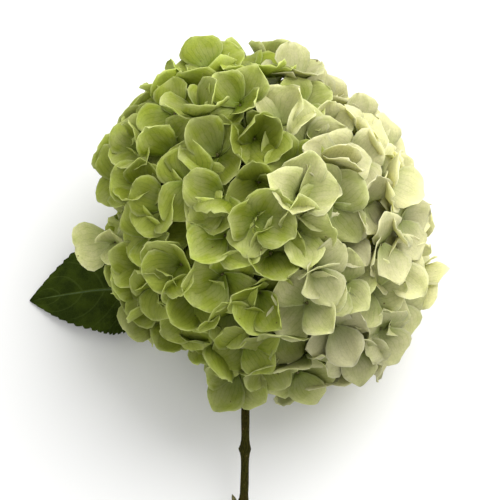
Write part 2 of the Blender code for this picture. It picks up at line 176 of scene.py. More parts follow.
LEAF_FOLD = 0.10
STALK_THICK = 0.0016
LEAF_CLEAR = 0.0012
LEAF_NEAR = 0.008

LEAF_STALK = through([laid(*spot) for spot in LEAF_STALK_ROUTE], 3)
LEAF_MIDRIB = through([laid(*spot) for spot in LEAF_ROUTE], 8)


def leaf_place(along, across):
    """A place on the leaf's upper face: along from the stalk (0) to the tip (1), across -1 to 1."""
    at = along * (len(LEAF_MIDRIB) - 1)
    k = min(int(at), len(LEAF_MIDRIB) - 2)
    spot = LEAF_MIDRIB[k].lerp(LEAF_MIDRIB[k + 1], at - k)
    ahead = LEAF_MIDRIB[k + 1] - LEAF_MIDRIB[k]
    side = Vector((-ahead.y, ahead.x, 0)).normalized()
    bend = math.log(0.5) / math.log(LEAF_WIDEST)
    half = LEAF_HALF_WIDTH * math.sin(math.pi * along**bend) ** LEAF_TAPER
    half *= LEAF_BROADER if across < 0 else 1
    rise = LEAF_FOLD * half * abs(across) * (1 - along)
    return spot + side * half * across + Vector((0, 0, rise))


LEAF_SPOTS = [leaf_place(k / 16, side / 4) for k in range(1, 16) for side in range(-4, 5)]
LEAF_SPOTS += [spot + Vector((0, 0, STALK_THICK)) for spot in LEAF_STALK[4:]]


def rest_height(place):
    """The lowest that a floret can be here: the table, or the leaf where that is in between."""
    near = [s.z + LEAF_CLEAR for s in LEAF_SPOTS if math.hypot(s.x - place.x, s.y - place.y) < LEAF_NEAR]
    return max(near, default=0.0)


print("stem of", len(STEM_ROUTE), "places, leaf of", len(LEAF_SPOTS), "resting spots")

# %% [markdown]
# ## Where the florets are
# Thirty-five florets on the front stand out and are placed one by one. The others fill the rest of the
# head: they start on a golden spiral and push each other apart until they are evenly spread, as real
# florets do when they open. The draws come from a seeded generator, so each run gives the same flower.

# %% The florets' layout
LEADING = (
    (-31, 90, -15, 38, 20, 21, 3),
    (-12, 64, -16, 20, 48, 22, 2),
    (-50, 62, -30, 22, 10, 20, 0),
    (-50, 40, -34, -6, 30, 21, 2),
    (-38, 20, -6, 2, 8, 21, 4),
    (-72, 24, -42, 10, 25, 22, 6),
    (-5, 46, 6, 14, 40, 23, 0),
    (21, 64, 12, 26, 15, 20, 0),
    (33, 52, 24, 10, 35, 19, 0),
    (54, 54, 34, 26, 5, 21, 2),
    (50, 35, 22, -4, 40, 20, 0),
    (36, 9, 10, 6, 33, 22, 3),
    (18, -5, 14, -22, 12, 22, 0),
    (-20, -8, -8, 12, 50, 23, 3),
    (4, -18, 4, -12, 30, 20, 0),
    (-60, -7, -30, -10, 15, 20, 2),
    (-66, -23, -44, 4, 40, 20, 2),
    (-37, -43, -16, -20, 35, 22, 0),
    (24, -44, 2, -8, 45, 22, 3),
    (44, -35, 16, 4, 20, 20, 0),
    (61, -40, 26, -14, 0, 20, 0),
    (73, -28, 38, 4, 30, 22, 0),
    (78, 47, 48, 22, 25, 21, 2),
    (86, 6, 56, 6, 10, 21, 0),
    (80, -50, 44, -24, 35, 21, 0),
    (52, -73, 24, -36, 15, 21, 0),
    (66, -60, 36, -20, 45, 22, 3),
    (-2, 22, -4, -18, 5, 19, 0),
    (15, 30, 10, 8, 25, 20, 0),
    (-15, -87, -8, -26, 54, 22, 8),
    (-8, -68, -4, -30, 40, 21, 0),
    (-52, -66, -34, -36, 10, 21, 0),
    (22, -92, 10, -36, 30, 21, 0),
    (-90, -12, -16, 0, 0, 25, 13),
    (-4, 96, -4, 44, 30, 21, 1),
)
SEPALS = 4
CYMES = 46
EDGE_PART = 0.985  # a place further out than this counts as on the outline
FULL_PUSH = 150  # a push this strong, or stronger, moves a direction by a whole step
LEADING_ROOM = 0.17  # how far from the leading florets the others start
SWAY = 0.16
RESTING_LIFT = 0.0055  # how far over the table or the leaf a floret's centre stays
FILLER_REACH = (0.0190, 0.0220)
BOX_SLACK = 0.004


class Floret:
    """Where one floret's centre is, the way it faces, its turn about that, and its sepals' reach."""

    def __init__(self, centre, facing, turn, reach):
        self.centre = centre
        self.facing = facing.normalized()
        self.turn = turn
        self.reach = reach


def on_front(x, y):
    """The direction from the head's middle to the place on its upper side that shows at x, y."""
    flat = Vector((x, y, 0))
    part = min(flat.length / head_reach(flat.normalized()), EDGE_PART)
    rise = HEAD_DEPTH * math.sqrt(1 - part**2)
    return Vector((x, y, rise)).normalized()


def golden_spiral(count):
    """Directions spread evenly over a sphere."""
    golden = math.pi * (3 - math.sqrt(5))
    for k in range(count):
        up = 1 - 2 * (k + 0.5) / count
        flat = math.sqrt(1 - up**2)
        yield Vector((flat * math.cos(k * golden), up, flat * math.sin(k * golden)))


def spread(free, fixed, rounds=240, step=0.10):
    """Pushes the free directions apart, and away from the fixed ones, until they are evenly spread."""
    ways = np.array([list(w) for w in [*free, *fixed]])
    for _ in range(rounds):
        apart = ways[: len(free), None, :] - ways[None, :, :]
        far = np.linalg.norm(apart, axis=2)
        far[far == 0] = math.inf
        push = (apart / far[..., None] ** 4).sum(axis=1)
        size = np.linalg.norm(push, axis=1, keepdims=True)
        ways[: len(free)] += push / size * step * np.minimum(1, size / FULL_PUSH)
        ways[: len(free)] /= np.linalg.norm(ways[: len(free)], axis=1, keepdims=True)
    return [Vector(w) for w in ways[: len(free)].tolist()]


def leading_floret(x, y, lean_x, lean_y, turn, reach, out, chance):
    """A floret from its row: millimetres for its place, reach and stand-out, degrees for its lean and turn."""
    way = on_front(x / 1000, y / 1000)
    facing = Vector((math.tan(math.radians(lean_x)), math.tan(math.radians(lean_y)), 1))
    centre = FLOWER @ (way * (head_reach(way) + out / 1000))
    chance.uniform(0.36, 0.50)  # the plain model's cup takes this draw
    return Floret(centre, FLOWER.to_3x3() @ facing, math.radians(turn), reach / 1000)


def filling_floret(way, chance):
    """One of the others, a little in or out of line, and lifted onto what it lies on."""
    centre = FLOWER @ (way * (head_reach(way) + chance.uniform(-UNEVEN, UNEVEN)))
    sway = Vector([chance.gauss(0, SWAY) for _ in range(3)])
    facing = FLOWER.to_3x3() @ (way + sway)
    lowest = rest_height(centre) + RESTING_LIFT
    centre.z = max(centre.z, lowest)
    floret = Floret(centre, facing, chance.uniform(0, TAU / SEPALS), chance.uniform(*FILLER_REACH))
    chance.uniform(0.32, 0.50)  # the plain model's cup takes this draw
    return floret


def lay_out_florets():
    """The leading florets, then the others, spread over the rest of the head in the same order each run."""
    chance = random.Random(5)
    leading = [leading_floret(*row, chance) for row in LEADING]
    fixed = [on_front(row[0] / 1000, row[1] / 1000) for row in LEADING]
    stem_out = Vector((-0.10, -1, 0.0)).normalized()
    others = golden_spiral(FLORETS)
    others = [way for way in others if min((way - spot).length for spot in fixed) > LEADING_ROOM]
    others = others[: FLORETS - len(LEADING)]
    others = spread(others, [*fixed, stem_out])
    others = [way for way in others if way.dot(stem_out) < STEM_CLEAR]
    return leading + [filling_floret(way, chance) for way in others]


def group_into_cymes(florets):
    """The florets of each cyme: those whose direction from the hub is nearest to the cyme's own."""
    hub = FLOWER @ HUB
    places = [way * head_reach(way) for way in spread(list(golden_spiral(CYMES)), [Vector((0, -1, 0))])]
    ways = [(FLOWER @ place - hub).normalized() for place in places]
    cymes = [[] for _ in ways]
    for floret in florets:
        way = (floret.centre - hub).normalized()
        cymes[max(range(CYMES), key=lambda k: way.dot(ways[k]))].append(floret)
    return [cyme for cyme in cymes if cyme]


florets = lay_out_florets()
cymes = group_into_cymes(florets)
adrift = 0
for number, cyme in enumerate(cymes, 1):
    low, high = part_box(f"cyme_{number:02d}")
    for floret in cyme:
        inside = all(low[k] - BOX_SLACK < floret.centre[k] < high[k] + BOX_SLACK for k in range(3))
        adrift += not inside
print(len(florets), "florets in", len(cymes), "cymes;", adrift, "outside their plain piece")

# %% [markdown]
# ## The camera, the table and the light
# The camera stands square over the flower, at the angle that shows the stem at its full length. A long
# lens from a good metre away keeps the round head from bulging. The light is a bright, even studio with
# one large soft lamp beyond the crown, so that sepals shade the ones beneath them.

# %% Camera
FRAME_WIDTH = 0.300
CAMERA_AWAY = 1.10
SENSOR = 0.036
FRAME_MIDDLE = Vector((-0.0072, -0.0162, 0.0))

camera = bpy.data.objects.new("camera", bpy.data.cameras.new("camera"))
bpy.context.scene.collection.objects.link(camera)
camera.data.sensor_width = SENSOR * 1000
camera.data.lens = SENSOR * 1000 * CAMERA_AWAY / FRAME_WIDTH
camera.data.clip_end = 20
camera.matrix_world = FLOWER @ Matrix.Translation(FRAME_MIDDLE + Vector((0, 0, CAMERA_AWAY)))
bpy.context.scene.camera = camera
print("camera", round(camera.data.lens), "mm lens at", [round(c, 3) for c in camera.matrix_world.translation])

# %% [markdown]
# ## A table and a studio
# The table is a plain pale sheet, and isn't part of the flower. A white studio lights it from all round.

# %% Table and light


def plain(name, colour, roughness):
    """A material with one colour and roughness, for what needs no pattern."""
    material = bpy.data.materials.new(name)
    material.use_nodes = True
    shader = material.node_tree.nodes["Principled BSDF"]
    shader.inputs["Base Color"].default_value = (*colour, 1)
    shader.inputs["Roughness"].default_value = roughness
    shader.inputs["Specular IOR Level"].default_value = 0.3
    return material


def soft_lamp(name, place, target, size, power):
    """A square area lamp that points at a target."""
    lamp = bpy.data.objects.new(name, bpy.data.lights.new(name, "AREA"))
    lamp.data.size = size
    lamp.data.energy = power
    bpy.context.scene.collection.objects.link(lamp)
    lamp.location = place
    lamp.rotation_euler = (target - place).to_track_quat("-Z", "Y").to_euler()


def start_shape(make, name, **options):
    """A new mesh object from one of Blender's own shapes, alone in the selection."""
    bpy.ops.object.select_all(action="DESELECT")
    make(**options)
    bpy.context.object.name = name
    return bpy.context.object


table = start_shape(bpy.ops.mesh.primitive_plane_add, "table", size=6, location=(0, 0, -0.0002))
table.data.materials.append(plain("pale_table", (0.95, 0.95, 0.945), 0.7))

world = bpy.data.worlds.new("studio")
bpy.context.scene.world = world
world.use_nodes = True
world.node_tree.nodes["Background"].inputs["Color"].default_value = (1.0, 1.0, 1.0, 1)
world.node_tree.nodes["Background"].inputs["Strength"].default_value = 0.78
soft_lamp("key_lamp", FLOWER @ Vector((0.55, 0.90, 0.85)), HEAD_CENTRE, 1.3, 19)
bpy.context.scene.view_settings.view_transform = "Standard"

# %% [markdown]
# ## How a crowd of florets opens
# A mophead looks the way it does because its florets run out of room. Each opens from a closed cup until
# its sepals meet the neighbours', and then they press, slide over or tuck under. Sepals placed by rule
# would cut through each other, so the opening is simulated: each sepal is a stiff plate hinged at its
# floret's centre. It starts folded up and short, grows and leans outward a little each step, and wherever
# a point of one comes too close to the face of another, both turn away.

# %% Room for every sepal: the state of the crowd
LEADING_TILTS = (
    22, 26, 20, 26, 12, 20, 40, 12, 22, 18, 24, 16, 26, 12, 36, 24, 30, 20,
    10, 24, 22, 26, 16, 24, 20, 22, 12, 34, 30, 14, 26, 22, 20, 6, 2,
)
FIVE_SEPALS = {4}
LONE_SEPAL = (33, 2)
TILT_GOALS = (4, 38)
FILLER_GROWTH = 1.08
LENGTH_PARTS = ((0.0, 0.40), (-0.32, 0.52), (0.32, 0.52), (0.0, 0.70), (-0.42, 0.74), (0.42, 0.74),
                (-0.22, 0.96), (0.22, 0.96), (0.0, 1.0))
SEPAL_BROAD = 1.12
CUP_ACROSS = 0.10
START_TILT = math.radians(78)
START_SIZE = 0.50
GROW_STEPS = 90
SETTLE_STEPS = 50
CLEARANCE = 0.0013
NEIGHBOUR = 0.050
ROLL_STIFF = 0.00008
FIVE_CHANCE = 0.06  # how often a floret has a fifth sepal
LEADING_OPEN = (0, 6)  # the steps at which florets start to open: the leading ones are ahead
FILLERS_OPEN = (4, 30)
TURN_SPREAD = 0.08
INNER_TILT, OUTER_TILT = 5, -4  # every other sepal is an inner one, a little steeper
TILT_SPREAD = 11
STUNTED_TILT, STUNTED_SIZE = 40, 0.60
LENGTHS = (0.99, 1.12)
INNER_LAYER = 0.0007
LEADING_WEIGHT = 0.3  # a leading floret's sepals give way less than others'

chance = random.Random(11)
owner, azimuth, tilt_goal, length, layer, opens, heavy = [], [], [], [], [], [], []
for number, floret in enumerate(florets):
    count = 5 if number in FIVE_SEPALS or chance.random() < FIVE_CHANCE else SEPALS
    leading = number < len(LEADING)
    openness = LEADING_TILTS[number] if leading else chance.uniform(*TILT_GOALS)
    late = chance.uniform(*(LEADING_OPEN if leading else FILLERS_OPEN))
    growth = 1.0 if leading else FILLER_GROWTH
    for k in range(count):
        owner.append(number)
        azimuth.append(floret.turn + TAU * k / count + chance.gauss(0, TURN_SPREAD))
        inner = k % 2
        stunted = number == LONE_SEPAL[0] and k != LONE_SEPAL[1]
        goal = openness + (INNER_TILT if inner else OUTER_TILT) + chance.gauss(0, TILT_SPREAD)
        tilt_goal.append(math.radians(goal + (STUNTED_TILT if stunted else 0)))
        full = floret.reach * growth * chance.uniform(*LENGTHS)
        length.append(full * (STUNTED_SIZE if stunted else 1))
        layer.append(INNER_LAYER if inner else 0.0)
        opens.append(late)
        heavy.append(LEADING_WEIGHT if leading else 1.0)
owner, azimuth, tilt_goal, length, layer, opens, heavy = map(
    np.array, (owner, azimuth, tilt_goal, length, layer, opens, heavy)
)
azimuth_start = azimuth.copy()
UP = Vector((0, 0, 1))
to_room = np.array([[list(row) for row in UP.rotation_difference(f.facing).to_matrix()] for f in florets])
centres = np.array([list(f.centre) for f in florets])
facings = np.array([list(f.facing) for f in florets])
print(len(owner), "sepals on", len(florets), "florets")

# %% [markdown]
# ## What the crowd lies on
# The height of the table, or of the leaf on it, is worked out once on a grid, so that it can be looked up
# for thousands of places in each step.

# %% What the sepals rest on
GRID_STEP = 0.004
GRID_LOW = np.array([-0.15, -0.16])
GRID_SIZE = (78, 84)
rest_grid = np.array([
    [rest_height(Vector((*(GRID_LOW + GRID_STEP * np.array((i, j))), 0))) for j in range(GRID_SIZE[1])]
    for i in range(GRID_SIZE[0])
])
STEM = np.array([list(FLOWER @ spot) for spot in through(list(STEM_ROUTE), 12)])
LEAF_STALK_LINE = np.array([list(spot) for spot in through(LEAF_STALK, 3)])


def rests(points):
    """The height of the table, or of the leaf on it, under each of many places."""
    at = np.rint((points[..., :2] - GRID_LOW) / GRID_STEP).astype(int)
    return rest_grid[np.clip(at[..., 0], 0, GRID_SIZE[0] - 1), np.clip(at[..., 1], 0, GRID_SIZE[1] - 1)]


print("leaf under the head up to", round(float(rest_grid.max()) * 1000, 1), "mm high")

# %% [markdown]
# ## A sepal as a plate
# In the crowd a sepal is only a direction, a size and nine places where it feels for others.

# %% A sepal as a plate
spots = np.array(LENGTH_PARTS)
sides, parts = spots[:, 0], spots[:, 1]


def sepal_axes(turn, tilt, roll):
    """Each sepal's own directions in the room: across it, along it, and out of its upper face."""
    zero = np.zeros_like(turn)
    outward = np.stack([np.cos(turn), np.sin(turn), zero], 1)
    across = np.stack([np.sin(turn), -np.cos(turn), zero], 1)
    axis = np.array([0.0, 0.0, 1.0])
    along = outward * np.cos(tilt)[:, None] + axis * np.sin(tilt)[:, None]
    face = -outward * np.sin(tilt)[:, None] + axis * np.cos(tilt)[:, None]
    rolled = across * np.cos(roll)[:, None] + face * np.sin(roll)[:, None]
    face = face * np.cos(roll)[:, None] - across * np.sin(roll)[:, None]
    turned = to_room[owner]
    return [np.einsum("nij,nj->ni", turned, way) for way in (rolled, along, face)]


def cup_rise(side, part):
    """How far a sepal's face stands above its plane, in lengths, from its hollow across."""
    return CUP_ACROSS * (2 * side) ** 2 * part


def sepal_points(base, axes, size):
    """Nine places on each sepal, where it feels for others."""
    across, along, face = (way[:, None, :] for way in axes)
    flat = along * (parts[None, :, None] * size[:, None, None])
    flat = flat + across * (sides[None, :, None] * (size * SEPAL_BROAD)[:, None, None])
    return base[:, None, :] + flat + face * (cup_rise(sides, parts)[None, :, None] * size[:, None, None])


near = [np.nonzero((np.linalg.norm(centres[owner] - centres[n], axis=1) < NEIGHBOUR) & (owner != n))[0]
        for n in range(len(florets))]
first = np.concatenate([np.full(len(near[n]), s) for s, n in enumerate(owner)])
second = np.concatenate([near[n] for n in owner])
print(len(first), "pairs of sepals that could meet")

# %% [markdown]
# ## What a contact does
# A touch turns a sepal in three ways: it tips up or down on its hinge, it rolls about its own middle, and it
# swings sideways. Each touch adds to three running sums, and a sepal with many touches takes only a
# share of each, which keeps the crowd calm.

# %% Touches between sepals, and with what they rest on
PLATE_ALONG = (0, 0.25, 0.5, 0.75, 1.0, 1.08)  # a sepal's outline: places along it, and its widths there
PLATE_WIDTHS = (0.15, 0.72, 1.0, 0.98, 0.45, 0.0)
PLATE_FOOT = 0.12  # nearer to the hinge than this, touches don't count
SHORTEST_LEVER = 0.3
REST_CLEAR = 0.0008
STEM_ROOM = 0.0042
LEAF_STALK_ROOM = 0.0030


class Nudges:
    """The turns that this step's touches ask of every sepal."""

    def __init__(self):
        self.tip, self.roll, self.swing, self.count = (np.zeros(len(owner)) for _ in range(4))

    def push(self, sepal, by, way, lever, axes):
        """A push at a place this far up the sepal: by how much and which way."""
        across, _, face = axes
        np.add.at(self.tip, sepal, by * np.einsum("ni,ni->n", way, face[sepal]) / lever)
        np.add.at(self.swing, sepal, -by * np.einsum("ni,ni->n", way, across[sepal]) / lever)
        np.add.at(self.count, sepal, 1)

    def twist(self, sepal, by, arm):
        """A push beside the sepal's middle line, which rolls it."""
        np.add.at(self.roll, sepal, by * arm / (arm**2 + ROLL_STIFF))


def meet_others(nudges, points, base, axes, size):
    """Where a sepal's place is too close to another's face, both turn away."""
    across, along, face = axes
    width = size * SEPAL_BROAD
    gap = points[first] - base[second][:, None, :]
    x = np.einsum("pki,pi->pk", gap, across[second]) / width[second][:, None]
    y = np.einsum("pki,pi->pk", gap, along[second]) / size[second][:, None]
    z = np.einsum("pki,pi->pk", gap, face[second]) - cup_rise(x, y) * size[second][:, None]
    half = 0.5 * np.interp(y, PLATE_ALONG, PLATE_WIDTHS)
    inside = (np.abs(x) < half) & (y > PLATE_FOOT) & (y < PLATE_ALONG[-1])
    pair, k = np.nonzero(inside & (np.abs(z) < CLEARANCE))
    mine, theirs = first[pair], second[pair]
    share = heavy[mine] / (heavy[mine] + heavy[theirs])
    push = np.sign(z[pair, k]) * (CLEARANCE - np.abs(z[pair, k]))
    way = face[theirs]
    nudges.push(mine, push * share, way, parts[k] * size[mine], axes)
    nudges.twist(mine, push * share * np.einsum("ni,ni->n", way, face[mine]), sides[k] * width[mine])
    np.add.at(nudges.tip, theirs, -push * (1 - share) / (np.maximum(y[pair, k], SHORTEST_LEVER) * size[theirs]))
    nudges.twist(theirs, -push * (1 - share), x[pair, k] * width[theirs])
    np.add.at(nudges.count, theirs, 1)
    return len(pair)


def meet_rest(nudges, points, axes, size):
    """Sepals stay over the table and the leaf, and off the stem and the leaf's stalk."""
    face = axes[2]
    under = rests(points) + REST_CLEAR - points[..., 2]
    s, k = np.nonzero(under > 0)
    np.add.at(nudges.tip, s, under[s, k] * face[s, 2] / (parts[k] * size[s]))
    np.add.at(nudges.count, s, 1)
    for line, radius in ((STEM, STEM_ROOM), (LEAF_STALK_LINE, LEAF_STALK_ROOM)):
        close = points[:, :, None, :] - line[None, None, :, :]
        far = np.linalg.norm(close, axis=3)
        nearest = far.argmin(axis=2)
        s, k = np.nonzero(far.min(axis=2) < radius)
        away = far[s, k, nearest[s, k]]
        way = close[s, k, nearest[s, k]] / away[:, None]
        nudges.push(s, radius - away, way, parts[k] * size[s], axes)


# %% [markdown]
# ## Letting them open
# Each step grows and leans the sepals towards their goals, then turns them away from what they touch. The
# last steps only settle them.

# %% Opening the florets
GROW_LAG = 30
GROW_PULL, SETTLE_PULL = 0.10, 0.03
CALMING = 0.6
TILT_LEAST, TILT_MOST = math.radians(-25), math.radians(86)
ROLL_MOST, ROLL_EASE = 0.6, 0.99
SWING_MOST = 0.35
REPORT_EVERY = 35

tilt = np.full(len(owner), START_TILT)
roll = np.zeros(len(owner))
base = centres[owner] + facings[owner] * layer[:, None]
for step in range(GROW_STEPS + SETTLE_STEPS):
    age = np.clip((step - opens) / (GROW_STEPS - GROW_LAG), 0, 1)
    size = length * (START_SIZE + (1 - START_SIZE) * age)
    wanted = START_TILT + (tilt_goal - START_TILT) * age
    tilt = tilt + (wanted - tilt) * (GROW_PULL if step < GROW_STEPS else SETTLE_PULL)
    axes = sepal_axes(azimuth, tilt, roll)
    points = sepal_points(base, axes, size)
    nudges = Nudges()
    touches = meet_others(nudges, points, base, axes, size)
    meet_rest(nudges, points, axes, size)
    calm = np.maximum(nudges.count, 1) ** CALMING
    tilt = np.clip(tilt + nudges.tip / calm, TILT_LEAST, TILT_MOST)
    roll = np.clip((roll + nudges.roll / calm) * ROLL_EASE, -ROLL_MOST, ROLL_MOST)
    swung = azimuth + nudges.swing / calm
    azimuth = np.clip(swung, azimuth_start - SWING_MOST, azimuth_start + SWING_MOST)
    if (step + 1) % REPORT_EVERY == 0:
        print("step", step + 1, "touches", touches, "tilt", round(math.degrees(tilt.mean())), "degrees")

# %% [markdown]
# ## Sepals
# What look like a hydrangea's petals are its sepals: broad, thin and slightly leathery, narrow where they
# join and round at the tip. Eight different sepals are enough for a whole head, because each copy is
# turned, sized and leaned in its own way. Each starts as a flat grid. Its columns are raised for the hollow
# across it, single edge points are moved for the waves, and then each row is squeezed to the outline,
# moved nearer to the next towards the tip, which keeps the tip round, and raised for the curl along it.
# Solidify gives it its thin wall. Sculpting each by hand would look no better at this size and could not
# be repeated.

# %% Tools for shaping a grid by rows and columns


def pick(test):
    """In edit mode, selects just the points that pass a test of their place."""
    shape = bmesh.from_edit_mesh(bpy.context.edit_object.data)
    shape.select_mode = {"VERT"}
    for vert in shape.verts:
        vert.select_set(bool(test(vert.co)))
    shape.select_flush_mode()
    bmesh.update_edit_mesh(bpy.context.edit_object.data)


def start_grid(name, columns, rows):
    """A flat grid, one unit wide and one unit long up +Y from the origin, open in edit mode."""
    make = bpy.ops.mesh.primitive_grid_add
    sheet = start_shape(make, name, x_subdivisions=columns, y_subdivisions=rows, size=1)
    bpy.ops.object.mode_set(mode="EDIT")
    bpy.ops.mesh.select_all(action="SELECT")
    bpy.ops.transform.translate(value=(0, 0.5, 0))
    return sheet


def give_wall(sheet, thickness, offset=0.0):
    """Gives an open sheet its thickness."""
    wall = sheet.modifiers.new("wall", "SOLIDIFY")
    wall.thickness = thickness
    wall.offset = offset
    bpy.context.view_layer.objects.active = sheet
    bpy.ops.object.modifier_apply(modifier=wall.name)


def put_away(piece):
    """Takes a master out of the scene; only its copies stay."""
    for collection in list(piece.users_collection):
        collection.objects.unlink(piece)


# %% The master sepals
SEPAL_COLUMNS = 4
SEPAL_ROWS = 7
SEPAL_STEPS = (0.0, 0.17, 0.36, 0.55, 0.72, 0.86, 0.95, 1.0)
SEPAL_WIDTHS = (0.16, 0.60, 0.99, 1.15, 1.09, 0.87, 0.58, 0.22)
SEPAL_WALL = 0.015
ROW_NEAR = 0.4 / SEPAL_ROWS
COLUMN_NEAR = 0.01
# each kind: its width, then its tip's point, curl along, hollow across, fold, edge wave and lean to a side
SEPAL_KINDS = (
    (1.00, 0.040, -0.06, 0.14, 0.00, 0.050, 0.00),
    (0.95, 0.060, 0.08, 0.20, 0.00, 0.070, 0.05),
    (1.05, 0.030, -0.18, 0.08, 0.00, 0.090, -0.06),
    (0.98, 0.055, 0.14, 0.26, 0.00, 0.050, 0.04),
    (0.93, 0.065, -0.26, 0.12, 0.10, 0.070, -0.05),
    (1.02, 0.045, 0.02, 0.06, 0.20, 0.080, 0.06),
    (1.06, 0.030, -0.10, 0.20, 0.00, 0.100, -0.07),
    (0.90, 0.065, 0.18, 0.28, 0.08, 0.080, 0.06),
)


def make_sepal(number, width, tip, curl, hollow, fold, wave, lean):
    """One master sepal, one unit long up +Y from its foot."""
    sheet = start_grid(f"master_sepal_{number}", SEPAL_COLUMNS, SEPAL_ROWS)
    for column in range(SEPAL_COLUMNS + 1):
        across = column / SEPAL_COLUMNS * 2 - 1
        pick(lambda co: abs(co.x * 2 - across) < COLUMN_NEAR)
        bpy.ops.transform.translate(value=(0, 0, 0.5 * hollow * across**2 + fold * abs(across)))
        pick(lambda co: abs(co.x * 2 - across) < COLUMN_NEAR and co.y > 0.99)
        bpy.ops.transform.translate(value=(0, tip * 1.2 - 0.035 * abs(across) ** 1.5, 0))
    for row in reversed(range(SEPAL_ROWS + 1)):
        along, place = row / SEPAL_ROWS, SEPAL_STEPS[row]
        above = 2 if row == SEPAL_ROWS else along + ROW_NEAR
        for side in (-1, 1):
            pick(lambda co: along - ROW_NEAR < co.y < above and abs(co.x * 2 - side) < COLUMN_NEAR)
            swing = wave * math.sin(place * 11 + number * 1.7 + side) * place
            bpy.ops.transform.translate(value=(0, 0, swing))
        pick(lambda co: along - ROW_NEAR < co.y < above)
        part = SEPAL_WIDTHS[row] * width
        bpy.ops.transform.resize(value=(part, 1, max(part, 0.5)), center_override=(0, along, 0))
        bpy.ops.transform.translate(value=(lean * place**2, place - along, curl * place**2))
    bpy.ops.object.mode_set(mode="OBJECT")
    give_wall(sheet, SEPAL_WALL)
    bpy.ops.object.shade_smooth()
    put_away(sheet)
    return sheet


sepal_masters = [make_sepal(number, *kind) for number, kind in enumerate(SEPAL_KINDS)]
print(len(sepal_masters), "sepals of", len(sepal_masters[0].data.polygons), "faces each")

# %% [markdown]
# ## Node helpers for the finishes
# Each finish starts from a Principled shader. `add` makes a node, sets its options and joins or fills its
# inputs in one line, and `blend` mixes two colours, so that a finish reads from top to bottom.

# %% Node helpers
tree = None  # the nodes of the finish that is being made


def start_finish(name, roughness, specular=0.3):
    """A new material and its shader. Its node tree is the one that the helpers below then add to."""
    global tree
    material = bpy.data.materials.new(name)
    material.use_nodes = True
    shader = material.node_tree.nodes["Principled BSDF"]
    shader.inputs["Roughness"].default_value = roughness
    shader.inputs["Specular IOR Level"].default_value = specular
    tree = material.node_tree
    return material, shader


def add(kind, inputs=None, **options):
    """A new node with its options set and its inputs joined to a socket or filled with a value."""
    made = tree.nodes.new("ShaderNode" + kind)
    for name, value in options.items():
        setattr(made, name, value)
    for key, value in (inputs or {}).items():
        if isinstance(value, bpy.types.NodeSocket):
            tree.links.new(value, made.inputs[key])
        else:
            made.inputs[key].default_value = value
    return made


def sums(operation, a, b=0.0, c=0.0, clamp=False):
    """The result of one arithmetic step."""
    return add("Math", {0: a, 1: b, 2: c}, operation=operation, use_clamp=clamp).outputs[0]


def times(a, b):
    return sums("MULTIPLY", a, b)


def off_half(value):
    """How far a value is from a half."""
    return sums("ABSOLUTE", sums("SUBTRACT", value, 0.5))


def noise(room, scale, detail):
    return add("TexNoise", {"Vector": room, "Scale": scale, "Detail": detail}).outputs[0]


def roughen(shader, strength, distance, height):
    """A bump on the shader's surface."""
    bump = add("Bump", {"Strength": strength, "Distance": distance, "Height": height}).outputs[0]
    tree.links.new(bump, shader.inputs["Normal"])
    return bump


def blend(factor, a, b, how="MIX"):
    """Two colours mixed by a factor."""
    a = (*a, 1) if isinstance(a, tuple) else a
    b = (*b, 1) if isinstance(b, tuple) else b
    return add("Mix", {0: factor, 6: a, 7: b}, data_type="RGBA", blend_type=how).outputs[2]


def ramp(value, low, high, to_low=0.0, to_high=1.0):
    """A value's range from low to high, eased to another range."""
    return add(
        "MapRange", {0: value, 1: low, 2: high, 3: to_low, 4: to_high}, interpolation_type="SMOOTHSTEP"
    ).outputs[0]


# %% [markdown]
# ## The finish of the sepals
# One finish serves every sepal. Two numbers stored on each floret say how far it has faded from lime to
# cream and how light it is, with painted shade on the florets round the foot of the head, and the UV map
# says where on a sepal a point is: the foot is deeper green and is darkened further as painted shade, the
# edge and the tip are paler, partly in their own colour and partly as a painted highlight, and fine veins
# run up the columns, which fan out because the grid narrows to the foot.
# Light shines through such thin tissue, so over a quarter of it passes to the other side.

# %% Sepal finish
LIME = (0.368, 0.432, 0.038)
CREAM = (0.750, 0.722, 0.400)
SEPAL_VEINS = 9.0
THROUGH = 0.28  # the part of the light that passes to a sepal's other side


